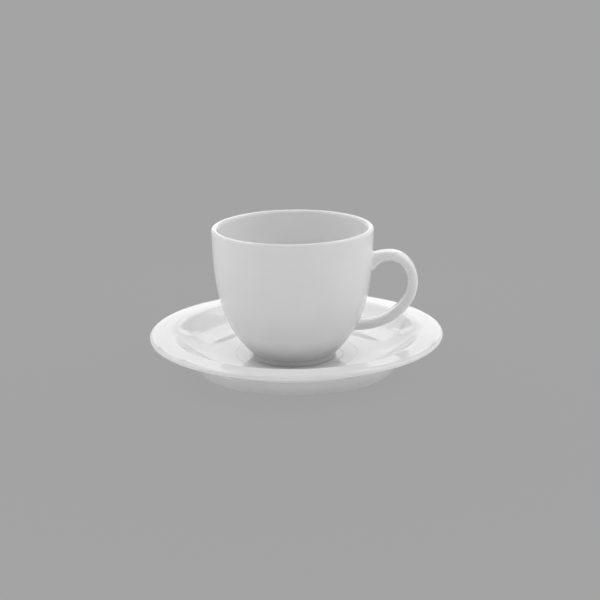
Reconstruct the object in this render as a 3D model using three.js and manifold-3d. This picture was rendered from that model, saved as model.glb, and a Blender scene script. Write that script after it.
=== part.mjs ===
import * as THREE from 'three';
import { mergeVertices } from 'three/addons/utils/BufferGeometryUtils.js';
import Module from 'manifold-3d';

// A white porcelain teacup on its saucer, in millimetres with +Z up. The origin lies under the middle of the
// saucer, on the table that it stands on, and the handle of the cup points along +X.

// Saucer, with heights above the table
const SAUCER_DIAMETER = 150;
const SAUCER_HEIGHT = 18.6;           // crest of the flange
const SAUCER_WALL = 3.5;
const EDGE_THICKNESS = 2.6;           // rounded outer edge of the flange
const FLANGE_WIDTH = 9.4;             // crest to the outermost edge
const FLANGE_FALL = 0.1;              // crest down to the top of the edge
const CREST_ROUNDING = 5;             // length of the round between dish and flange
const DISH_ANGLE = 43;                // degrees, where the dish is steepest
const DISH_START_ANGLE = 4;           // degrees, where the dish leaves the well
const DISH_START_PULL = 0.45;         // share of its width that the dish keeps its first angle
const DISH_END_PULL = 0.4;            // share of its width that the dish keeps its last angle
const SAUCER_FOOT_DIAMETER = 102;
const SAUCER_FOOT_LAND = 2.2;         // flat ring that touches the table
const SAUCER_FOOT_FILLET = 1.5;
const SEAT_HEIGHT = 5;                // flat seat of the cup
const SEAT_PLAY = 2.3;                // free ring round the foot of the cup
const SEAT_STEP = 0.4;                // rise of the rounded ring round the seat
const WELL_WIDTH = 7.3;               // seat ring to the second ring
const WELL_RISE = 0.75;               // rise of the well between the two rings
const WELL_STEP = 0.4;                // rise of the second ring
const STEP_WIDTH = 2;                 // width over which a ring rises

// Cup, with heights above the face that its foot stands on
const CUP_HEIGHT = 67.7;
const RIM_DIAMETER = 82;
const CUP_WALL = 3;
const SIDE_DRAFT = 1.85;              // degrees, lean of the side just under the lip
const SIDE_PULL = 21.6;               // how far down the side keeps that lean
const BELLY_ANGLE = 43;               // degrees, slope of the belly where it meets the foot
const BELLY_PULL = 25.2;              // how far up the belly keeps that slope
const CUP_FOOT_DIAMETER = 43.2;
const CUP_FOOT_HEIGHT = 2.8;
const CUP_FOOT_LAND = 1.8;
const CUP_FOOT_RECESS = 1.6;
const CUP_FOOT_FILLET = 0.5;
const CUP_FLOOR = 3.9;                // porcelain between the recess and the floor inside
const FLOOR_ROUNDING = 4.2;           // height of the round between the floor and the side inside
const CUP_OFFSET = -1.2;              // the cup stands a little off the middle of its seat
const FOOT_ROUND = 0.6;               // rounded corners of both foot rings

// Handle, measured on its centreline
const HANDLE_DROP = 14.6;             // lip down to the crown
const CROWN_REACH = 8.4;              // widest point of the cup out to the crown
const HANDLE_REACH = 19.8;            // widest point of the cup out to the back
const BACK_DROP = 13.7;               // crown down to the outermost point of the back
const UPPER_ROOT_DROP = 2.6;          // crown down to the upper root
const UPPER_ROOT_ANGLE = 41;          // degrees, climb of the handle out of the upper root
const LOWER_ROOT_HEIGHT = 16.4;
const LOWER_ROOT_ANGLE = -5;          // degrees, the same for the lower root, where it falls a little
const ROOT_PULL = 0.44;               // share of the top that keeps the angle of the root
const CROWN_PULL = 0.38;              // share of the top that runs level into the crown
const TURN_PULL = 0.55;               // the same for the quarter turns of the back
const HANDLE_WIDTH = 10.5;
const UPPER_ROOT_THICKNESS = 8.3;
const CROWN_THICKNESS = 4.9;
const BACK_THICKNESS = 5.2;
const LOWER_ROOT_THICKNESS = 5;

// Slip that joins the handle to the bowl
const SLIP_THICKNESS = 0.6;
const SLIP_MARGIN = 0.4;              // slip squeezed out round the root
const JOINT_GAP = 0.3;

// Fineness of the facets
const LATHE_SEGMENTS = 48;
const SECTION_POINTS = 16;
const STEP_STEPS = 4;
const ROUND_STEPS = 3;
const DISH_STEPS = 10;
const SIDE_STEPS = 16;
const EDGE_STEPS = 6;
const FLOOR_STEPS = 5;
const HANDLE_STEPS = { top: 7, back: 10, low: 12 };

const wasm = await Module();
wasm.setup();

const point = (x, y) => new THREE.Vector2(x, y);
const direction = (degrees) => point(Math.cos(THREE.MathUtils.degToRad(degrees)),
  Math.sin(THREE.MathUtils.degToRad(degrees)));
const along = (start, heading, length) => start.clone().addScaledVector(heading, length);

// Straight interpolation of y over a list of points whose x increases.
function heightAt(points, x) {
  const next = Math.max(1, points.findIndex((p) => p.x >= x));
  const a = points[next - 1];
  const b = points[next];
  return THREE.MathUtils.mapLinear(x, a.x, b.x, a.y, b.y);
}

// A closed outline turned round the Z axis. The outline runs out along the underside and back over the top.
function turned(outline) {
  return new THREE.LatheGeometry(outline, LATHE_SEGMENTS).rotateX(Math.PI / 2);
}

function rounded(start, corner, end, steps = ROUND_STEPS) {
  return new THREE.QuadraticBezierCurve(start, corner, end).getPoints(steps);
}

// Half a circle, drawn anticlockwise from an angle in radians.
function halfRound(centre, radius, startAngle) {
  return new THREE.EllipseCurve(centre.x, centre.y, radius, radius, startAngle, startAngle + Math.PI)
    .getPoints(EDGE_STEPS);
}

// A small rise between two level stretches, as a smooth S.
function ringStep(radius, low, rise) {
  const start = point(radius - STEP_WIDTH / 2, low);
  const end = point(radius + STEP_WIDTH / 2, low + rise);
  const pull = STEP_WIDTH / 2;
  return new THREE.CubicBezierCurve(start, point(start.x + pull, start.y), point(end.x - pull, end.y), end)
    .getPoints(STEP_STEPS);
}

// Underside of a foot ring, from its outer wall to its inner wall: two rounded corners and the flat land.
function footRing(outerRadius, land) {
  const landOuter = outerRadius - FOOT_ROUND;
  const landInner = landOuter - land;
  const innerRadius = landInner - FOOT_ROUND;
  return {
    innerRadius,
    inward: [
      ...rounded(point(outerRadius, FOOT_ROUND), point(outerRadius, 0), point(landOuter, 0)),
      ...rounded(point(landInner, 0), point(innerRadius, 0), point(innerRadius, FOOT_ROUND)),
    ],
  };
}

// Saucer: the upper side is drawn from the middle out, and the underside lies one wall below it.
const saucerRadius = SAUCER_DIAMETER / 2;
const cupFootRadius = CUP_FOOT_DIAMETER / 2;
const edgeRadius = EDGE_THICKNESS / 2;
const seatRing = cupFootRadius + SEAT_PLAY;
const wellRing = seatRing + WELL_WIDTH;

function saucerTop() {
  const wellTop = SEAT_HEIGHT + SEAT_STEP + WELL_RISE;
  const dishStart = point(wellRing + STEP_WIDTH / 2, wellTop + WELL_STEP);
  const crest = point(saucerRadius - FLANGE_WIDTH, SAUCER_HEIGHT);
  const crestCorner = point(crest.x - CREST_ROUNDING / 2, crest.y);
  const dishEnd = along(crestCorner, direction(DISH_ANGLE), -CREST_ROUNDING / 2);
  const dishWidth = dishEnd.x - dishStart.x;
  const dish = new THREE.CubicBezierCurve(
    dishStart,
    along(dishStart, direction(DISH_START_ANGLE), dishWidth * DISH_START_PULL),
    along(dishEnd, direction(DISH_ANGLE), -dishWidth * DISH_END_PULL),
    dishEnd,
  );
  const edgeTop = point(saucerRadius - edgeRadius, SAUCER_HEIGHT - FLANGE_FALL);
  const flangeCorner = point((crest.x + edgeTop.x) / 2, SAUCER_HEIGHT);
  return [
    point(0, SEAT_HEIGHT),
    ...ringStep(seatRing, SEAT_HEIGHT, SEAT_STEP),
    ...ringStep(wellRing, wellTop, WELL_STEP).slice(0, -1),
    ...dish.getPoints(DISH_STEPS),
    ...rounded(dishEnd, crestCorner, crest).slice(1),
    ...rounded(crest, flangeCorner, edgeTop).slice(1),
  ];
}

function saucerUnderside(top) {
  return top.map((p, i) => {
    const before = top[Math.max(0, i - 1)];
    const after = top[Math.min(top.length - 1, i + 1)];
    const slope = (after.y - before.y) / (after.x - before.x);
    return point(p.x, p.y - SAUCER_WALL * Math.hypot(1, slope));
  });
}

function saucerOutline() {
  const top = saucerTop();
  const under = saucerUnderside(top);
  const footOuter = SAUCER_FOOT_DIAMETER / 2;
  const ring = footRing(footOuter, SAUCER_FOOT_LAND);
  const underAt = (radius) => point(radius, heightAt(under, radius));
  const wallTop = (radius) => point(radius, heightAt(under, radius) - SAUCER_FOOT_FILLET);
  const inside = ring.innerRadius - SAUCER_FOOT_FILLET;
  const outside = footOuter + SAUCER_FOOT_FILLET;
  const innerFillet = rounded(wallTop(ring.innerRadius), underAt(ring.innerRadius), underAt(inside));
  const outerFillet = rounded(underAt(outside), underAt(footOuter), wallTop(footOuter));
  const edgeCentre = point(saucerRadius - edgeRadius, SAUCER_HEIGHT - FLANGE_FALL - edgeRadius);
  const edge = halfRound(edgeCentre, edgeRadius, -Math.PI / 2);
  const inward = [
    ...under.filter((p) => p.x > outside + FOOT_ROUND && p.x < edgeCentre.x - EDGE_THICKNESS).reverse(),
    ...outerFillet,
    ...ring.inward,
    ...innerFillet,
    ...under.filter((p) => p.x < inside - FOOT_ROUND && p.x > wellRing).reverse(),
    point(seatRing, SEAT_HEIGHT - SAUCER_WALL),
    point(0, SEAT_HEIGHT - SAUCER_WALL),
  ];
  return [
    ...inward.reverse(),
    ...edge,
    ...top.slice(0, -1).reverse(),
  ];
}

// Cup: one curve runs down the outside from the lip to the foot, and the inside lies one wall within it.
const rimRadius = RIM_DIAMETER / 2;
const lipRadius = CUP_WALL / 2;

function cupSide() {
  const lip = point(rimRadius, CUP_HEIGHT - lipRadius);
  const foot = point(cupFootRadius + CUP_FOOT_FILLET, CUP_FOOT_HEIGHT + CUP_FOOT_FILLET / 2);
  return new THREE.CubicBezierCurve(
    foot,
    along(foot, direction(BELLY_ANGLE), BELLY_PULL),
    along(lip, direction(90 - SIDE_DRAFT), -SIDE_PULL),
    lip,
  ).getPoints(SIDE_STEPS);
}

// The side moved along its own normals, outwards for a positive distance.
function movedSide(distance) {
  const side = cupSide();
  return side.map((p, i) => {
    const before = side[Math.max(0, i - 1)];
    const after = side[Math.min(side.length - 1, i + 1)];
    const heading = after.clone().sub(before).normalize();
    return point(p.x + heading.y * distance, p.y - heading.x * distance);
  });
}

function bowlOutline() {
  const side = cupSide();
  const floor = CUP_FOOT_RECESS + CUP_FLOOR;
  const inner = movedSide(-CUP_WALL).filter((p) => p.y > floor + FLOOR_ROUNDING);
  const slope = inner[1].clone().sub(inner[0]);
  const floorCorner = point(inner[0].x - (slope.x / slope.y) * (inner[0].y - floor), floor);
  const floorEdge = point(floorCorner.x - inner[0].distanceTo(floorCorner), floor);
  const ring = footRing(cupFootRadius, CUP_FOOT_LAND);
  const recess = point(ring.innerRadius - CUP_FOOT_FILLET, CUP_FOOT_RECESS);
  const lip = halfRound(point(rimRadius - lipRadius, CUP_HEIGHT - lipRadius), lipRadius, 0);
  const footJoin = rounded(point(cupFootRadius, CUP_FOOT_HEIGHT - CUP_FOOT_FILLET),
    point(cupFootRadius, CUP_FOOT_HEIGHT), side[0]);
  return [
    point(0, CUP_FOOT_RECESS),
    recess,
    ...ring.inward.reverse(),
    ...footJoin,
    ...side.slice(1, -1),
    ...lip,
    ...inner.slice(0, -1).reverse(),
    ...rounded(inner[0], floorCorner, floorEdge, FLOOR_STEPS).slice(1),
    point(0, floor),
  ];
}

// The bowl filled in and grown by a distance: what the handle and the slip are cut against.
function grownBowl(distance) {
  const side = movedSide(distance);
  const last = side.length - 1;
  return turned([point(0, side[0].y), ...side, point(0, side[last].y)]);
}

// Handle: three curves in the XZ plane, from the upper root over the crown and the back to the lower root.
function handleCurves() {
  const wall = cupSide().map((p) => point(p.y, p.x));
  const crown = point(rimRadius + CROWN_REACH, CUP_HEIGHT - HANDLE_DROP);
  const back = point(rimRadius + HANDLE_REACH, crown.y - BACK_DROP);
  const upperHeight = crown.y - UPPER_ROOT_DROP;
  const upperHeading = direction(UPPER_ROOT_ANGLE);
  const upper = along(point(heightAt(wall, upperHeight), upperHeight), upperHeading, -CUP_WALL);
  const lowerHeading = direction(LOWER_ROOT_ANGLE);
  const lower = along(point(heightAt(wall, LOWER_ROOT_HEIGHT), LOWER_ROOT_HEIGHT), lowerHeading, -CUP_WALL);
  const rise = crown.x - upper.x;
  const turn = point(back.x - crown.x, crown.y - back.y);
  const sweep = point(back.x - lower.x, back.y - lower.y);
  return {
    top: new THREE.CubicBezierCurve(upper, along(upper, upperHeading, rise * ROOT_PULL),
      point(crown.x - rise * CROWN_PULL, crown.y), crown),
    back: new THREE.CubicBezierCurve(crown, point(crown.x + turn.x * TURN_PULL, crown.y),
      point(back.x, back.y + turn.y * TURN_PULL), back),
    low: new THREE.CubicBezierCurve(back, point(back.x, back.y - sweep.y * TURN_PULL),
      along(lower, lowerHeading, sweep.x * TURN_PULL), lower),
  };
}

// Stations along one curve, with the thickness easing from one end to the other.
function stations(curve, steps, startThickness, endThickness, ease) {
  return Array.from({ length: steps + 1 }, (_, i) => {
    const t = i / steps;
    const heading = curve.getTangent(t);
    return {
      centre: curve.getPoint(t),
      outward: point(-heading.y, heading.x),
      thickness: THREE.MathUtils.lerp(startThickness, endThickness, ease(t)),
    };
  });
}

// A rounded section carried along the stations and closed by a flat cap at each end.
function swept(rings, margin) {
  const squareness = 2 / 3;
  const squared = (value) => Math.sign(value) * Math.abs(value) ** squareness;
  const positions = [];
  for (const { centre, outward, thickness } of rings) {
    for (let k = 0; k < SECTION_POINTS; k += 1) {
      const angle = (2 * Math.PI * k) / SECTION_POINTS;
      const out = squared(Math.sin(angle)) * (thickness / 2 + margin);
      const across = squared(Math.cos(angle)) * (HANDLE_WIDTH / 2 + margin);
      positions.push(centre.x + outward.x * out, across, centre.y + outward.y * out);
    }
  }
  const faces = [];
  const lastRing = (rings.length - 1) * SECTION_POINTS;
  for (let start = 0; start < lastRing; start += SECTION_POINTS) {
    for (let k = 0; k < SECTION_POINTS; k += 1) {
      const a = start + k;
      const b = start + ((k + 1) % SECTION_POINTS);
      faces.push(a, b, a + SECTION_POINTS, b, b + SECTION_POINTS, a + SECTION_POINTS);
    }
  }
  for (let k = 1; k < SECTION_POINTS - 1; k += 1) {
    faces.push(0, k + 1, k, lastRing, lastRing + k, lastRing + k + 1);
  }
  const geometry = new THREE.BufferGeometry();
  geometry.setAttribute('position', new THREE.Float32BufferAttribute(positions, 3));
  geometry.setIndex(faces);
  return geometry;
}

function solidFrom(geometry) {
  const bare = geometry.clone();
  bare.deleteAttribute('normal');
  bare.deleteAttribute('uv');
  const merged = mergeVertices(bare);
  const index = merged.index.array;
  const triangles = [];
  for (let i = 0; i < index.length; i += 3) {
    const [a, b, c] = index.slice(i, i + 3);
    if (a !== b && b !== c && c !== a) triangles.push(a, b, c);
  }
  return new wasm.Manifold(new wasm.Mesh({
    numProp: 3,
    vertProperties: new Float32Array(merged.attributes.position.array),
    triVerts: new Uint32Array(triangles),
  }));
}

function geometryFrom(solid) {
  const mesh = solid.getMesh();
  const geometry = new THREE.BufferGeometry();
  geometry.setAttribute('position', new THREE.Float32BufferAttribute(mesh.vertProperties, 3));
  geometry.setIndex(Array.from(mesh.triVerts));
  geometry.computeVertexNormals();
  return geometry;
}

const curves = handleCurves();
const easeOut = (t) => 1 - (1 - t) ** 2;
const topStations = stations(curves.top, HANDLE_STEPS.top, UPPER_ROOT_THICKNESS, CROWN_THICKNESS, easeOut);
const backStations = stations(curves.back, HANDLE_STEPS.back, CROWN_THICKNESS, BACK_THICKNESS, (t) => t);
const lowStations = stations(curves.low, HANDLE_STEPS.low, BACK_THICKNESS, LOWER_ROOT_THICKNESS, (t) => t);

function handleGeometry() {
  const loop = swept([...topStations, ...backStations.slice(1), ...lowStations.slice(1)], 0);
  const clearance = JOINT_GAP + SLIP_THICKNESS + JOINT_GAP;
  return geometryFrom(solidFrom(loop).subtract(solidFrom(grownBowl(clearance))));
}

// A skin of slip that follows the wall of the bowl under one root of the handle.
function slipGeometry(rootStations) {
  const skin = solidFrom(grownBowl(JOINT_GAP + SLIP_THICKNESS)).subtract(solidFrom(grownBowl(JOINT_GAP)));
  return geometryFrom(solidFrom(swept(rootStations, SLIP_MARGIN)).intersect(skin));
}

function named(name, geometry, colour, roughness) {
  const material = new THREE.MeshStandardMaterial({ color: colour, roughness, metalness: 0 });
  const mesh = new THREE.Mesh(geometry, material);
  mesh.name = name;
  return mesh;
}

const GLAZE_WHITE = 0xf0f0ee;
const GLAZE_ROUGHNESS = 0.12;

const cup = new THREE.Group();
cup.position.set(CUP_OFFSET, 0, SEAT_HEIGHT);
cup.add(
  named('cup_bowl', turned(bowlOutline()), GLAZE_WHITE, GLAZE_ROUGHNESS),
  named('cup_handle', handleGeometry(), GLAZE_WHITE, GLAZE_ROUGHNESS),
  named('upper_slip_joint', slipGeometry(topStations), GLAZE_WHITE, GLAZE_ROUGHNESS),
  named('lower_slip_joint', slipGeometry(lowStations), GLAZE_WHITE, GLAZE_ROUGHNESS),
);

const teacupAndSaucer = new THREE.Group();
teacupAndSaucer.add(named('saucer', turned(saucerOutline()), GLAZE_WHITE, GLAZE_ROUGHNESS), cup);

export default teacupAndSaucer;
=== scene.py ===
import math

import bpy
import numpy as np
from mathutils import Matrix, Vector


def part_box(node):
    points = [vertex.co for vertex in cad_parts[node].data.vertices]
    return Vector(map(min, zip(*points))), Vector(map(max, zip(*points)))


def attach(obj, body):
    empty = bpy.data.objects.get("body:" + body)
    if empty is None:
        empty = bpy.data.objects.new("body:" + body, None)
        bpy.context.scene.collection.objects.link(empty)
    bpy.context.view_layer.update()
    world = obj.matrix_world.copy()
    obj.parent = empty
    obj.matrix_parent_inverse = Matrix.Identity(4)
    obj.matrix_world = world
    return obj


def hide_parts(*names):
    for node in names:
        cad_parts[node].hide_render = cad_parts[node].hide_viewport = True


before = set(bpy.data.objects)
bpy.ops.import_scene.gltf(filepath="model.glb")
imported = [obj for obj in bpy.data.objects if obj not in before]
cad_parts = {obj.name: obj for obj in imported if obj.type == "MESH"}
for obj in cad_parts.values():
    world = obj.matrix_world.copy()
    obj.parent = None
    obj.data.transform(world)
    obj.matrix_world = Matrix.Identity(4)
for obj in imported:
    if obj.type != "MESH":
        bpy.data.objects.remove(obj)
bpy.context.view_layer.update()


# Saucer: a round porcelain dish pressed in one piece with its foot ring. The flat seat in its middle is
# ringed by two low rounded steps, and a nearly level flange carries the rounded edge. It is dipped in clear
# gloss glaze, and only the land of the foot ring is wiped bare.
mm = 0.001
saucer_low, saucer_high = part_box("saucer")
bowl_low, bowl_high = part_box("cup_bowl")
saucer_radius = saucer_high.x
saucer_height = saucer_high.z
seat_height = bowl_low.z
cup_foot_radius = 21.6 * mm
turn_segments = 256


def bezier(*controls, count=24):
    """Points on a Bezier curve: the control points blended with Bernstein weights, which are
    binomial * t^k * (1 - t)^(n - k)."""
    t = np.linspace(0.0, 1.0, count)[:, None]
    last = len(controls) - 1
    weights = [math.comb(last, k) * t**k * (1.0 - t) ** (last - k) for k in range(last + 1)]
    return sum(w * np.asarray(c, float) for w, c in zip(weights, controls))


def half_round(centre, radius, start_angle, count=24):
    """Half a circle drawn anticlockwise: centre + radius * (cos a, sin a) over half a turn."""
    a = start_angle + np.linspace(0.0, math.pi, count)[:, None]
    return np.asarray(centre) + radius * np.hstack([np.cos(a), np.sin(a)])


def heading(degrees):
    """Unit vector at an angle above the level."""
    return np.array([math.cos(math.radians(degrees)), math.sin(math.radians(degrees))])


def one_line(*stretches):
    """The stretches laid end to end, without the points that repeat where they meet."""
    line = np.vstack([np.atleast_2d(s) for s in stretches])
    step = np.linalg.norm(np.diff(line, axis=0), axis=1)
    return line[np.concatenate([[True], step > 1e-6])]


def foot_ring(outer, land, rounding):
    """The bottom of a foot ring from its outer to its inner wall: a round, the flat land and a round."""
    land_outer = outer - rounding
    land_inner = land_outer - land
    inner = land_inner - rounding
    outside = bezier((outer, rounding), (outer, 0), (land_outer, 0), count=10)
    inside = bezier((land_inner, 0), (inner, 0), (inner, rounding), count=10)
    return inner, one_line(outside, inside)


def new_piece(name, points, faces):
    """A smooth mesh object at the origin from an array of points and an array or list of faces."""
    mesh = bpy.data.meshes.new(name)
    mesh.from_pydata(points.tolist(), [], [list(f) for f in faces])
    mesh.polygons.foreach_set("use_smooth", np.ones(len(mesh.polygons), bool))
    mesh.update()
    piece = bpy.data.objects.new(name, mesh)
    bpy.context.scene.collection.objects.link(piece)
    return piece


def turned_piece(name, outline, axis_x, base):
    """An outline of (radius, height) carried once round a vertical axis: x = axis_x + r cos a,
    y = r sin a, z = base + h. The first and last points lie on the axis and become the two poles."""
    a = np.linspace(0.0, 2.0 * math.pi, turn_segments, endpoint=False)
    r, h = outline[1:-1, 0][:, None], outline[1:-1, 1][:, None]
    grid = np.stack([axis_x + r * np.cos(a), r * np.sin(a), base + h + 0.0 * a], axis=2)
    poles = np.array([[axis_x, 0.0, base + outline[0, 1]], [axis_x, 0.0, base + outline[-1, 1]]])
    points = np.vstack([grid.reshape(-1, 3), poles])
    rows = len(outline) - 2
    i, j = np.meshgrid(np.arange(rows - 1), np.arange(turn_segments), indexing="ij")
    k = (j + 1) % turn_segments
    row = i * turn_segments
    next_row = row + turn_segments
    quads = np.stack([row + j, row + k, next_row + k, next_row + j], axis=2).reshape(-1, 4)
    ring = np.arange(turn_segments)
    turned = np.roll(ring, -1)
    top_row = (rows - 1) * turn_segments
    first_pole = np.full_like(ring, rows * turn_segments)
    last_pole = first_pole + 1
    first_fan = np.stack([first_pole, turned, ring], axis=1)
    last_fan = np.stack([last_pole, top_row + ring, top_row + turned], axis=1)
    return new_piece(name, points, quads.tolist() + first_fan.tolist() + last_fan.tolist())


def saucer_outline():
    """Upper side: level seat, two S-shaped steps, a Bezier dish, a rounded crest and a flange that
    falls a little into the rounded edge. The underside lies one wall below it, measured square to the
    slope, down to the foot ring."""
    wall = 3.5 * mm
    edge_radius = 1.3 * mm
    flange_width = 9.4 * mm
    flange_fall = 0.1 * mm
    flange_end = math.radians(9.0)
    edge_rounding = 3.1 * mm
    edge_height = 17.2 * mm
    crest_rounding = 5.0 * mm
    dish_angle = 43.0
    step_half = 1.0 * mm
    seat_ring = cup_foot_radius + 2.3 * mm
    well_ring = seat_ring + 7.3 * mm
    seat_step = 0.4 * mm
    well_rise = 0.75 * mm
    well_step = 0.4 * mm
    foot_outer = 51.0 * mm
    foot_land = 2.2 * mm
    foot_fillet = 1.5 * mm
    foot_round = 0.6 * mm

    def ring_step(radius, low, rise):
        start, end = (radius - step_half, low), (radius + step_half, low + rise)
        return bezier(start, (radius, low), (radius, low + rise), end, count=14)

    well_top = seat_height + seat_step + well_rise
    dish_start = np.array([well_ring + step_half, well_top + well_step])
    crest = np.array([saucer_radius - flange_width, saucer_height])
    crest_corner = crest - (crest_rounding / 2, 0)
    dish_end = crest_corner - heading(dish_angle) * crest_rounding / 2
    span = dish_end[0] - dish_start[0]
    dish = bezier(
        dish_start,
        dish_start + heading(4.0) * span * 0.45,
        dish_end - heading(dish_angle) * span * 0.4,
        dish_end,
        count=48,
    )
    edge_start = np.array([saucer_radius - edge_rounding, saucer_height - flange_fall])
    flange_bend = (edge_start[0] - flange_fall / math.tan(flange_end), saucer_height)
    flange = bezier(crest, flange_bend, edge_start, count=20)
    seat = np.linspace((0.0, seat_height), (seat_ring - step_half, seat_height), 12)
    top = one_line(
        seat,
        ring_step(seat_ring, seat_height, seat_step),
        ring_step(well_ring, well_top, well_step),
        dish,
        bezier(dish_end, crest_corner, crest, count=14),
        flange,
    )
    slope = np.gradient(top[:, 1], top[:, 0])
    under = np.stack([top[:, 0], top[:, 1] - wall * np.hypot(1.0, slope)], axis=1)

    def under_at(radius, drop=0.0):
        return np.array([radius, np.interp(radius, under[:, 0], under[:, 1]) - drop])

    foot_inner, ring = foot_ring(foot_outer, foot_land, foot_round)
    outside = foot_outer + foot_fillet
    inside = foot_inner - foot_fillet
    outer_wall_top = under_at(foot_outer, foot_fillet)
    inner_wall_top = under_at(foot_inner, foot_fillet)
    outer_fillet = bezier(under_at(outside), under_at(foot_outer), outer_wall_top, count=12)
    inner_fillet = bezier(inner_wall_top, under_at(foot_inner), under_at(inside), count=12)
    edge_centre = np.array([saucer_radius - edge_radius, edge_height])
    edge = one_line(
        half_round(edge_centre, edge_radius, -math.pi / 2)[:12],
        bezier(
            (saucer_radius, edge_height),
            (saucer_radius, edge_height + edge_radius * 0.7),
            edge_start + (edge_rounding * 0.5, -edge_rounding * 0.5 * math.tan(flange_end)),
            edge_start,
            count=16,
        ),
    )
    outer_under = under[(under[:, 0] > outside) & (under[:, 0] < edge_centre[0] - 2 * edge_radius)]
    inner_under = under[(under[:, 0] < inside) & (under[:, 0] > well_ring + step_half)]
    floor = seat_height - wall
    edge_under = bezier(
        edge_centre - (0, edge_radius),
        edge_centre - (edge_radius, edge_radius),
        outer_under[-1],
        count=8,
    )
    underside = one_line(
        edge_under,
        outer_under[::-1],
        outer_fillet,
        ring,
        inner_fillet,
        inner_under[::-1],
        np.linspace((seat_ring, floor), (0.0, floor), 12),
    )
    return one_line(underside[::-1], edge, top[::-1])


saucer = turned_piece("saucer_body", saucer_outline(), 0.0, 0.0)
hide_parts("saucer")
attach(saucer, "saucer")


def glaze_group():
    """Glaze as it lies on fired porcelain: slow clouds of tone, a fine skin like the peel of an
    orange, a painted shade that darkens the colour low on the outside, and the bare band of the foot,
    both masked by height above the foot's land."""
    cloud_scale = 42.0
    ragged_scale = 260.0
    ragged_height = 0.5 * mm
    bare_start = 0.05 * mm
    bare_end = 0.3 * mm
    bare_roughness = 0.5
    wet_scale = 90.0
    wet_spread = 0.02
    peel_scale = 420.0
    peel_height = 0.012 * mm
    grain_scale = 4200.0
    grain_height = 0.03 * mm
    group = bpy.data.node_groups.new("glaze_on_porcelain", "ShaderNodeTree")
    face = group.interface
    for name, kind in (
        ("Glaze Colour", "NodeSocketColor"),
        ("Bare Colour", "NodeSocketColor"),
        ("Foot Height", "NodeSocketFloat"),
        ("Painted Shade Colour", "NodeSocketColor"),
        ("Painted Shade Start", "NodeSocketFloat"),
        ("Painted Shade End", "NodeSocketFloat"),
        ("Glaze Roughness", "NodeSocketFloat"),
    ):
        face.new_socket(name, in_out="INPUT", socket_type=kind)
    for name, kind in (
        ("Colour", "NodeSocketColor"),
        ("Roughness", "NodeSocketFloat"),
        ("Skin Height", "NodeSocketFloat"),
    ):
        face.new_socket(name, in_out="OUTPUT", socket_type=kind)
    nodes, links = group.nodes, group.links
    inputs = nodes.new("NodeGroupInput")
    outputs = nodes.new("NodeGroupOutput")
    place = nodes.new("ShaderNodeTexCoord").outputs["Object"]

    def noise(scale, detail, roughness):
        node = nodes.new("ShaderNodeTexNoise")
        node.inputs["Scale"].default_value = scale
        node.inputs["Detail"].default_value = detail
        node.inputs["Roughness"].default_value = roughness
        links.new(place, node.inputs["Vector"])
        return node.outputs["Fac"]

    def spread(value, low, high, to_low, to_high):
        node = nodes.new("ShaderNodeMapRange")
        node.interpolation_type = "SMOOTHSTEP"
        ends = (("From Min", low), ("From Max", high), ("To Min", to_low), ("To Max", to_high))
        for name, number in ends:
            node.inputs[name].default_value = number
        links.new(value, node.inputs["Value"])
        return node.outputs["Result"]

    def math_node(operation, a, b):
        node = nodes.new("ShaderNodeMath")
        node.operation = operation
        for socket, value in zip(node.inputs, (a, b)):
            if isinstance(value, (int, float)):
                socket.default_value = value
            else:
                links.new(value, socket)
        return node.outputs["Value"]

    clouds = spread(noise(cloud_scale, 3.0, 0.55), 0.3, 0.7, 0.975, 1.0)
    tint = nodes.new("ShaderNodeMix")
    tint.data_type = "RGBA"
    tint.blend_type = "MULTIPLY"
    tint.inputs["Factor"].default_value = 1.0
    links.new(inputs.outputs["Glaze Colour"], tint.inputs["A"])
    links.new(clouds, tint.inputs["B"])

    height = nodes.new("ShaderNodeSeparateXYZ")
    links.new(place, height.inputs["Vector"])
    ragged = math_node("MULTIPLY", noise(ragged_scale, 2.0, 0.5), ragged_height)
    above_foot = math_node("SUBTRACT", height.outputs["Z"], inputs.outputs["Foot Height"])
    above = math_node("SUBTRACT", above_foot, ragged)
    bare = spread(above, bare_start, bare_end, 1.0, 0.0)
    # Painted shade: below the start height the outside colour is multiplied by the shade colour, fading out
    # by the end height.
    painted_shade_fade = nodes.new("ShaderNodeMapRange")
    painted_shade_fade.interpolation_type = "SMOOTHSTEP"
    painted_shade_fade.inputs["To Min"].default_value = 1.0
    painted_shade_fade.inputs["To Max"].default_value = 0.0
    links.new(above, painted_shade_fade.inputs["Value"])
    links.new(inputs.outputs["Painted Shade Start"], painted_shade_fade.inputs["From Min"])
    links.new(inputs.outputs["Painted Shade End"], painted_shade_fade.inputs["From Max"])
    inside = nodes.new("ShaderNodeAttribute")
    inside.attribute_name = "inside"
    outside = math_node("SUBTRACT", 1.0, inside.outputs["Fac"])
    painted_shade_outside = math_node("MULTIPLY", painted_shade_fade.outputs["Result"], outside)
    painted_shade_mix = nodes.new("ShaderNodeMix")
    painted_shade_mix.data_type = "RGBA"
    painted_shade_mix.blend_type = "MULTIPLY"
    links.new(painted_shade_outside, painted_shade_mix.inputs["Factor"])
    links.new(tint.outputs["Result"], painted_shade_mix.inputs["A"])
    links.new(inputs.outputs["Painted Shade Colour"], painted_shade_mix.inputs["B"])
    colour = nodes.new("ShaderNodeMix")
    colour.data_type = "RGBA"
    links.new(bare, colour.inputs["Factor"])
    links.new(painted_shade_mix.outputs["Result"], colour.inputs["A"])
    links.new(inputs.outputs["Bare Colour"], colour.inputs["B"])
    links.new(colour.outputs["Result"], outputs.inputs["Colour"])

    uneven = spread(noise(wet_scale, 2.0, 0.5), 0.35, 0.7, 0.0, wet_spread)
    wet = math_node("ADD", inputs.outputs["Glaze Roughness"], uneven)
    dry = math_node("MULTIPLY", bare, bare_roughness)
    links.new(math_node("ADD", wet, dry), outputs.inputs["Roughness"])

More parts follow.
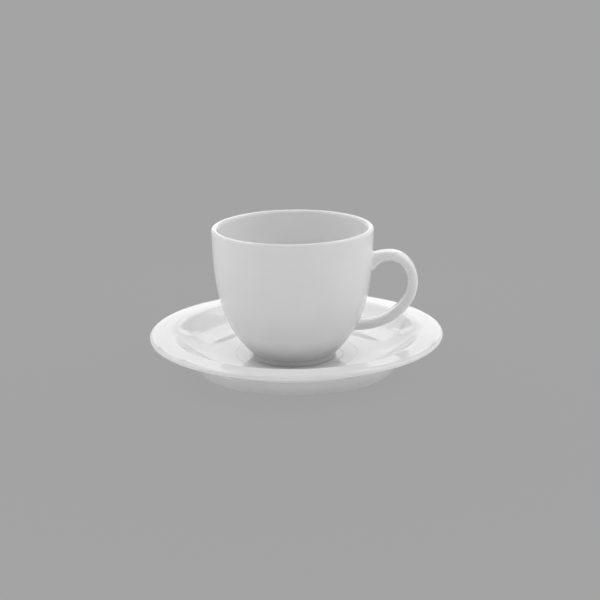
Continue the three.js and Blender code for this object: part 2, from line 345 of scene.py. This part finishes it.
    peel = math_node("MULTIPLY", noise(peel_scale, 2.0, 0.5), peel_height)
    bare_grain = math_node("MULTIPLY", noise(grain_scale, 3.0, 0.7), bare)
    grain = math_node("MULTIPLY", bare_grain, grain_height)
    links.new(math_node("ADD", peel, grain), outputs.inputs["Skin Height"])
    return group


glaze = glaze_group()


def glazed(name, colour, bare_colour, foot_height, painted_shade_colour, painted_shade_start, painted_shade_end, roughness):
    """White porcelain under clear gloss glaze, with painted shade low down outside: the colour there is
    multiplied by the painted shade's colour up to its start, and the shade fades out at its end, both as
    heights above the foot."""
    material = bpy.data.materials.new(name)
    material.use_nodes = True
    nodes, links = material.node_tree.nodes, material.node_tree.links
    shader = nodes["Principled BSDF"]
    shader.inputs["IOR"].default_value = 1.5
    skin = nodes.new("ShaderNodeGroup")
    skin.node_tree = glaze
    skin.inputs["Glaze Colour"].default_value = (*colour, 1.0)
    skin.inputs["Bare Colour"].default_value = (*bare_colour, 1.0)
    skin.inputs["Foot Height"].default_value = foot_height
    skin.inputs["Painted Shade Colour"].default_value = (*painted_shade_colour, 1.0)
    skin.inputs["Painted Shade Start"].default_value = painted_shade_start
    skin.inputs["Painted Shade End"].default_value = painted_shade_end
    skin.inputs["Glaze Roughness"].default_value = roughness
    bump = nodes.new("ShaderNodeBump")
    bump.inputs["Strength"].default_value = 1.0
    bump.inputs["Distance"].default_value = 1.0
    links.new(skin.outputs["Skin Height"], bump.inputs["Height"])
    links.new(skin.outputs["Colour"], shader.inputs["Base Color"])
    links.new(skin.outputs["Roughness"], shader.inputs["Roughness"])
    links.new(bump.outputs["Normal"], shader.inputs["Normal"])
    return material


porcelain_white = (0.85, 0.85, 0.85)
bare_white = (0.74, 0.73, 0.71)
glaze_roughness = 0.06
# Painted shade: the saucer's foot ring is darkened a little close to the table.
saucer_painted_shade = (0.93, 0.93, 0.93)
saucer_skin = glazed(
    "saucer_glaze",
    porcelain_white,
    bare_white,
    foot_height=0.0,
    painted_shade_colour=saucer_painted_shade,
    painted_shade_start=2.0 * mm,
    painted_shade_end=4.8 * mm,
    roughness=glaze_roughness,
)
saucer.data.materials.append(saucer_skin)


# Cup bowl: the body of the cup, a tall rounded bowl turned in one piece with its foot ring. Its wall is
# one even thickness from the rounded lip down to the floor, and it stands loose on the saucer's seat.
bowl_axis = (bowl_low.x + bowl_high.x) / 2
rim_radius = (bowl_high.x - bowl_low.x) / 2
cup_height = bowl_high.z - bowl_low.z
cup_wall = 3.0 * mm
lip_radius = cup_wall / 2


def cup_side(count=120):
    """The outside of the bowl from its foot to its lip: one cubic Bezier that leaves the foot at 43
    degrees and reaches the lip almost upright."""
    foot_flare = 0.5 * mm
    side_start = 3.05 * mm
    belly_pull = 25.2 * mm
    lip_pull = 21.6 * mm
    foot = np.array([cup_foot_radius + foot_flare, side_start])
    lip = np.array([rim_radius, cup_height - lip_radius])
    belly = foot + heading(43.0) * belly_pull
    shoulder = lip - heading(88.15) * lip_pull
    return bezier(foot, belly, shoulder, lip, count=count)


def moved_along_normals(line, distance):
    """Each point of a line moved square to the line, to its right for a positive distance."""
    along = np.gradient(line, axis=0)
    along /= np.linalg.norm(along, axis=1, keepdims=True)
    return line + distance * np.stack([along[:, 1], -along[:, 0]], axis=1)


def bowl_outline():
    """Recess, foot ring, outside, lip, inside and floor. The inside is the outside moved in by one
    wall, and a Bezier rounds it into the level floor."""
    side = cup_side()
    recess = 1.6 * mm
    floor = 5.5 * mm
    floor_rounding = 4.2 * mm
    foot_height = 2.8 * mm
    foot_fillet = 0.5 * mm
    foot_round = 1.0 * mm
    foot_land = 1.2 * mm
    inside = moved_along_normals(side, -cup_wall)
    inside = inside[inside[:, 1] > floor + floor_rounding]
    down = inside[0] - inside[1]
    corner = inside[0] + down * (inside[0, 1] - floor) / -down[1]
    level = corner - (np.linalg.norm(inside[0] - corner), 0)
    foot_inner, ring = foot_ring(cup_foot_radius, foot_land, foot_round)
    foot_join = bezier(
        (cup_foot_radius, foot_height - foot_fillet),
        (cup_foot_radius, foot_height),
        side[0],
        count=10,
    )
    under = bezier(
        (foot_inner - 2 * foot_fillet, recess),
        (foot_inner, recess),
        (foot_inner, foot_round),
        count=10,
    )
    return one_line(
        np.linspace((0.0, recess), (foot_inner - 2 * foot_fillet, recess), 8),
        under,
        ring[::-1],
        foot_join,
        side,
        half_round((rim_radius - lip_radius, cup_height - lip_radius), lip_radius, 0.0),
        inside[::-1],
        bezier(inside[0], corner, level, count=20),
        np.linspace(level, (0.0, floor), 12),
    )


def mark_inside(piece):
    """A value on each point, 1 inside the cup and 0 elsewhere: inside is above the recess and more
    than half a wall in from the outside at that height."""
    above_recess = 4.0 * mm
    flat = np.empty(len(piece.data.vertices) * 3, np.float32)
    piece.data.vertices.foreach_get("co", flat)
    points = flat.reshape(-1, 3) - (bowl_axis, 0.0, seat_height)
    side = cup_side()
    reach = np.interp(points[:, 2], side[:, 1], side[:, 0]) - cup_wall / 2
    within = (np.hypot(points[:, 0], points[:, 1]) < reach) & (points[:, 2] > above_recess)
    marks = piece.data.attributes.new("inside", "FLOAT", "POINT")
    marks.data.foreach_set("value", within.astype(np.float32))


bowl = turned_piece("cup_body", bowl_outline(), bowl_axis, seat_height)
# The inside mark keeps the painted shade on the outside of the cup only.
mark_inside(bowl)
# Painted shade: the outside of the cup is darkened towards its foot, where shade falls.
cup_painted_shade = (0.73, 0.73, 0.73)
cup_skin = glazed(
    "cup_glaze",
    porcelain_white,
    bare_white,
    foot_height=seat_height,
    painted_shade_colour=cup_painted_shade,
    painted_shade_start=5.0 * mm,
    painted_shade_end=16.0 * mm,
    roughness=glaze_roughness,
)
bowl.data.materials.append(cup_skin)
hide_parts("cup_bowl")
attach(bowl, "cup")


# Handle: a bar with flat sides and rounded edges, cast by itself, bent into an ear and stuck to the
# bowl with slip. The slip is smoothed into a small fillet all round both roots before the cup is
# glazed.
handle_width = 10.5 * mm
root_fillet = 1.4 * mm
root_depth = 1.6 * mm


def handle_centreline():
    """Three cubic Beziers in the plane through the axis: root to crown, crown to back, back to lower
    root. Each point has the bar's thickness with it."""
    crown_reach = 8.4 * mm
    crown_drop = 14.6 * mm
    back_reach = 19.8 * mm
    back_drop = 13.7 * mm
    upper_root_drop = 2.6 * mm
    lower_height = 16.4 * mm
    upper_thickness = 8.3 * mm
    crown_thickness = 4.9 * mm
    back_thickness = 5.2 * mm
    lower_thickness = 5.0 * mm
    side = cup_side()
    crown = np.array([rim_radius + crown_reach, cup_height - crown_drop])
    back = np.array([rim_radius + back_reach, crown[1] - back_drop])
    upper_height = crown[1] - upper_root_drop

    def on_wall(height):
        return np.array([np.interp(height, side[:, 1], side[:, 0]), height])

    upper_heading, lower_heading = heading(41.0), heading(-5.0)
    upper = on_wall(upper_height) - upper_heading * cup_wall
    lower = on_wall(lower_height) - lower_heading * cup_wall
    rise = crown[0] - upper[0]
    turn = np.array([back[0] - crown[0], crown[1] - back[1]])
    sweep = back - lower
    t = np.linspace(0.0, 1.0, 60)
    top = bezier(upper, upper + upper_heading * rise * 0.44, crown - (rise * 0.38, 0), crown, count=60)
    over = bezier(crown, crown + (turn[0] * 0.55, 0), back + (0, turn[1] * 0.55), back, count=60)
    lower_pull = lower + lower_heading * sweep[0] * 0.55
    low = bezier(back, back - (0, sweep[1] * 0.55), lower_pull, lower, count=60)
    top_thickness = crown_thickness + (upper_thickness - crown_thickness) * (1.0 - t) ** 2
    over_thickness = crown_thickness + (back_thickness - crown_thickness) * t
    low_thickness = back_thickness + (lower_thickness - back_thickness) * t
    line = np.vstack([top, over[1:], low[1:]])
    thickness = np.concatenate([top_thickness, over_thickness[1:], low_thickness[1:]])
    return line, thickness


def handle_surface(around=64):
    """A rounded section carried along the centreline: in polar form its radius is
    (|cos a / w|^3 + |sin a / t|^3)^(-1/3), with w and t half the width and half the thickness. The ends
    reach into the wall no deeper than the root's depth. Nearer the bowl than the fillet's radius, each
    point moves out along the wall by the gap under a quarter circle."""
    line, thickness = handle_centreline()
    along = np.gradient(line, axis=0)
    along /= np.linalg.norm(along, axis=1, keepdims=True)
    outward = np.stack([-along[:, 1], along[:, 0]], axis=1)
    a = np.linspace(0.0, 2.0 * math.pi, around, endpoint=False)
    half_width = handle_width / 2
    half_thick = thickness[:, None] / 2
    reach = (np.abs(np.cos(a) / half_width) ** 3 + np.abs(np.sin(a) / half_thick) ** 3) ** (-1 / 3)
    across = reach * np.cos(a)
    out = reach * np.sin(a)
    points = np.stack(
        [
            line[:, :1] + outward[:, :1] * out,
            across,
            line[:, 1:] + outward[:, 1:] * out,
        ],
        axis=2,
    )
    spoke = points - np.stack([line[:, 0], np.zeros(len(line)), line[:, 1]], axis=1)[:, None, :]
    side = cup_side()
    slope = np.gradient(side[:, 0], side[:, 1])

    def wall_gap(p):
        radius = np.hypot(p[..., 0], p[..., 1])
        lean = np.interp(p[..., 2], side[:, 1], slope)
        scale = 1.0 / np.hypot(1.0, lean)
        gap = (radius - np.interp(p[..., 2], side[:, 1], side[:, 0])) * scale
        normal = np.stack([p[..., 0] / radius * scale, p[..., 1] / radius * scale, -lean * scale], axis=-1)
        return gap, normal

    gap, normal = wall_gap(points)
    points = points - np.minimum(gap + root_depth, 0.0)[..., None] * normal
    gap, normal = wall_gap(points)
    tangent = spoke - (spoke * normal).sum(-1, keepdims=True) * normal
    tangent /= np.linalg.norm(tangent, axis=-1, keepdims=True)
    inside = np.clip(1.0 - gap / root_fillet, 0.0, 1.0)
    flare = root_fillet * (1.0 - np.sqrt(1.0 - inside**2))
    moved = points + flare[..., None] * tangent
    new_gap, normal = wall_gap(moved)
    moved = moved + (gap - new_gap)[..., None] * normal * (inside > 0)[..., None]
    return moved + (bowl_axis, 0.0, seat_height)


def handle_piece():
    """The handle's grid of points as a tube, with a fan of triangles over each hidden end."""
    grid = handle_surface()
    rows, around = grid.shape[:2]
    i, j = np.meshgrid(np.arange(rows - 1), np.arange(around), indexing="ij")
    k = (j + 1) % around
    row = i * around
    next_row = row + around
    quads = np.stack([row + j, row + k, next_row + k, next_row + j], axis=2).reshape(-1, 4)
    ends = np.stack([grid[0].mean(0), grid[-1].mean(0)])
    points = np.vstack([grid.reshape(-1, 3), ends])
    ring = np.arange(around)
    turned = np.roll(ring, -1)
    last = (rows - 1) * around
    first_cap = np.stack([np.full_like(ring, rows * around), turned, ring], axis=1)
    last_cap = np.stack([np.full_like(ring, rows * around + 1), last + ring, last + turned], axis=1)
    return new_piece("handle_body", points, quads.tolist() + first_cap.tolist() + last_cap.tolist())


handle = handle_piece()
handle_skin = glazed(
    "handle_glaze",
    porcelain_white,
    bare_white,
    foot_height=0.0,
    painted_shade_colour=porcelain_white,
    painted_shade_start=0.0,
    painted_shade_end=1.0 * mm,
    roughness=glaze_roughness,
)
handle.data.materials.append(handle_skin)
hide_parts("cup_handle", "upper_slip_joint", "lower_slip_joint")
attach(handle, "cup")


# Floor: a plain sheet that the saucer stands on. Seen by the camera or in the glaze it is an even grey
# that keeps the soft shadow of the saucer. It lights the object as pale paper with a weak glow, like a
# white table.
floor_grey = 0.371
floor_size = 12.0
shadow_share = 0.03
paper_white = 0.9
paper_glow = 0.16
shadow_fade = (0.12, 0.3)


def flat_floor():
    """A square of four corners at the height of the table."""
    half = floor_size / 2
    corners = np.array([[-half, -half, 0.0], [half, -half, 0.0], [half, half, 0.0], [-half, half, 0.0]])
    return new_piece("floor", corners, [[0, 1, 2, 3]])


floor = flat_floor()


def floor_paper():
    """Matt paper. Camera, glossy and transmission rays see an even grey far off, and near the object
    the same grey with the shadow. Other rays meet the pale paper and its glow."""
    material = bpy.data.materials.new("floor_paper")
    material.use_nodes = True
    nodes, links = material.node_tree.nodes, material.node_tree.links
    nodes.clear()
    out = nodes.new("ShaderNodeOutputMaterial")
    paper = nodes.new("ShaderNodeBsdfDiffuse")
    paper.inputs["Color"].default_value = (paper_white, paper_white, paper_white, 1.0)
    table_glow = nodes.new("ShaderNodeEmission")
    table_glow.inputs["Color"].default_value = (1.0, 1.0, 1.0, 1.0)
    table_glow.inputs["Strength"].default_value = paper_glow
    lit_paper = nodes.new("ShaderNodeAddShader")
    links.new(paper.outputs[0], lit_paper.inputs[0])
    links.new(table_glow.outputs[0], lit_paper.inputs[1])
    shaded = nodes.new("ShaderNodeBsdfDiffuse")
    shaded.inputs["Color"].default_value = (shadow_share, shadow_share, shadow_share, 1.0)
    glow = nodes.new("ShaderNodeEmission")
    glow.inputs["Color"].default_value = (1.0, 1.0, 1.0, 1.0)
    glow.inputs["Strength"].default_value = floor_grey - shadow_share
    near = nodes.new("ShaderNodeAddShader")
    links.new(shaded.outputs[0], near.inputs[0])
    links.new(glow.outputs[0], near.inputs[1])
    far = nodes.new("ShaderNodeEmission")
    far.inputs["Color"].default_value = (1.0, 1.0, 1.0, 1.0)
    far.inputs["Strength"].default_value = floor_grey
    place = nodes.new("ShaderNodeTexCoord")
    distance = nodes.new("ShaderNodeVectorMath")
    distance.operation = "LENGTH"
    links.new(place.outputs["Object"], distance.inputs[0])
    fade = nodes.new("ShaderNodeMapRange")
    fade.interpolation_type = "SMOOTHSTEP"
    fade.inputs["From Min"].default_value = shadow_fade[0]
    fade.inputs["From Max"].default_value = shadow_fade[1]
    links.new(distance.outputs["Value"], fade.inputs["Value"])
    seen = nodes.new("ShaderNodeMixShader")
    links.new(fade.outputs["Result"], seen.inputs[0])
    links.new(near.outputs[0], seen.inputs[1])
    links.new(far.outputs[0], seen.inputs[2])
    rays = nodes.new("ShaderNodeLightPath")
    camera_or_glossy = nodes.new("ShaderNodeMath")
    camera_or_glossy.operation = "MAXIMUM"
    links.new(rays.outputs["Is Camera Ray"], camera_or_glossy.inputs[0])
    links.new(rays.outputs["Is Glossy Ray"], camera_or_glossy.inputs[1])
    any_seen = nodes.new("ShaderNodeMath")
    any_seen.operation = "MAXIMUM"
    links.new(camera_or_glossy.outputs[0], any_seen.inputs[0])
    links.new(rays.outputs["Is Transmission Ray"], any_seen.inputs[1])
    choice = nodes.new("ShaderNodeMixShader")
    links.new(any_seen.outputs[0], choice.inputs[0])
    links.new(lit_paper.outputs[0], choice.inputs[1])
    links.new(seen.outputs[0], choice.inputs[2])
    links.new(choice.outputs[0], out.inputs["Surface"])
    return material


floor.data.materials.append(floor_paper())


# Camera: the photograph's own view, from a little above and with the handle turned slightly towards it.
# It is a plain pinhole, placed by its angles and its distance from a point near the middle of the cup.
camera_azimuth = math.radians(4.0)
camera_pitch = math.radians(15.80)
camera_roll = math.radians(-0.797)
camera_distance = 720.5 * mm
camera_aim = np.array([2.13, 0.0, 34.04]) * mm
camera_lens = 84.57
camera_sensor = 36.0


def turned_about_z(v):
    """A vector of the view, with x to the right and y away, turned into the frame of the object."""
    c, s = math.cos(camera_azimuth), math.sin(camera_azimuth)
    return np.array([c * v[0] - s * v[1], s * v[0] + c * v[1], v[2]])


def photograph_camera():
    """A pinhole at a distance behind the aim, looking down by the pitch and rolled about its own axis."""
    ahead = np.array([0.0, math.cos(camera_pitch), -math.sin(camera_pitch)])
    level = np.array([1.0, 0.0, 0.0])
    raised = np.array([0.0, math.sin(camera_pitch), math.cos(camera_pitch)])
    right = math.cos(camera_roll) * level + math.sin(camera_roll) * raised
    up = math.cos(camera_roll) * raised - math.sin(camera_roll) * level
    spot = camera_aim - camera_distance * ahead
    data = bpy.data.cameras.new("photograph")
    data.lens = camera_lens
    data.sensor_width = camera_sensor
    camera = bpy.data.objects.new("photograph", data)
    columns = [turned_about_z(v) for v in (right, up, -ahead, spot)]
    matrix = np.eye(4)
    matrix[:3, :] = np.stack(columns, axis=1)
    camera.matrix_world = Matrix(matrix.tolist())
    bpy.context.scene.collection.objects.link(camera)
    bpy.context.scene.camera = camera


photograph_camera()


# Light: a soft white studio. Bright panels stand close behind the object, dimmer ones low beside them
# and bright ones high at both sides. Weak panels round the front and one above the camera fill the
# shadows.
panel_aim = 35.0 * mm


def panel(name, spot, size, brightness):
    """A soft oblong panel that faces the cup. Its spot is in the view, with x to the right and y away,
    and its power is brightness * pi * area, so that a brightness of 1 is seen as white in the glaze."""
    data = bpy.data.lights.new(name, "AREA")
    data.shape = "RECTANGLE"
    data.size, data.size_y = size
    data.energy = brightness * math.pi * size[0] * size[1]
    lamp = bpy.data.objects.new(name, data)
    lamp.visible_camera = False
    place = turned_about_z(np.asarray(spot, float))
    target = np.array([0.0, 0.0, panel_aim])
    back = place - target
    back /= np.linalg.norm(back)
    side = np.cross((0.0, 0.0, 1.0), back)
    side /= np.linalg.norm(side)
    matrix = np.eye(4)
    matrix[:3, :] = np.stack([side, np.cross(back, side), back, place], axis=1)
    lamp.matrix_world = Matrix(matrix.tolist())
    bpy.context.scene.collection.objects.link(lamp)


def panel_between(name, azimuths, elevations, distance, brightness):
    """A panel that spans the given angles as seen from the cup, in degrees: azimuths run clockwise
    from straight behind, and elevations from the table up."""
    azimuth = math.radians(sum(azimuths) / 2)
    elevation = math.radians(sum(elevations) / 2)
    level = distance * math.cos(elevation)
    height = panel_aim + distance * math.sin(elevation)
    spot = (level * math.sin(azimuth), level * math.cos(azimuth), height)
    wide = 2 * level * math.tan(math.radians(azimuths[1] - azimuths[0]) / 2)
    tall = 2 * distance * math.tan(math.radians(elevations[1] - elevations[0]) / 2)
    panel(name, spot, (wide, tall), brightness)


for panel_name, panel_azimuths, panel_elevations, panel_distance, panel_brightness in (
    ("back_low_panel", (-20, 20), (0.5, 21), 0.6, 1.25),
    ("back_middle_left_panel", (-20, -1.2), (21, 28), 0.6, 1.7),
    ("back_middle_right_panel", (1.2, 20), (21, 28), 0.6, 1.8),
    ("back_high_panel", (-20, 20), (28, 54), 0.6, 1.8),
    ("left_low_panel", (-80, -18), (0.5, 24), 0.8, 0.65),
    ("left_dim_panel", (-40, -18), (24, 54), 0.8, 0.95),
    ("left_high_panel", (-80, -40), (24, 62), 0.8, 1.7),
    ("right_low_panel", (18, 80), (0.5, 24), 0.8, 0.85),
    ("right_dim_panel", (18, 50), (24, 54), 0.8, 0.8),
    ("right_high_panel", (50, 80), (24, 62), 0.8, 2.25),
    ("left_side_panel", (-140, -80), (24, 62), 1.2, 1.05),
    ("right_side_panel", (80, 140), (24, 62), 1.2, 1.4),
    ("left_fill_panel", (-140, -80), (0.5, 24), 1.2, 0.55),
    ("right_fill_panel", (80, 140), (0.5, 24), 1.2, 0.35),
    ("front_fill_panel", (140, 220), (0.5, 24), 1.2, 0.45),
    ("over_front_panel", (150, 210), (62, 80), 1.2, 2.8),
):
    panel_between(panel_name, panel_azimuths, panel_elevations, panel_distance, panel_brightness)

room = bpy.data.worlds.new("pale_room")
room.use_nodes = True
room_glow = room.node_tree.nodes["Background"]
room_glow.inputs["Color"].default_value = (1.0, 1.0, 1.0, 1.0)
room_glow.inputs["Strength"].default_value = 0.1
bpy.context.scene.world = room
bpy.context.scene.view_settings.view_transform = "Standard"
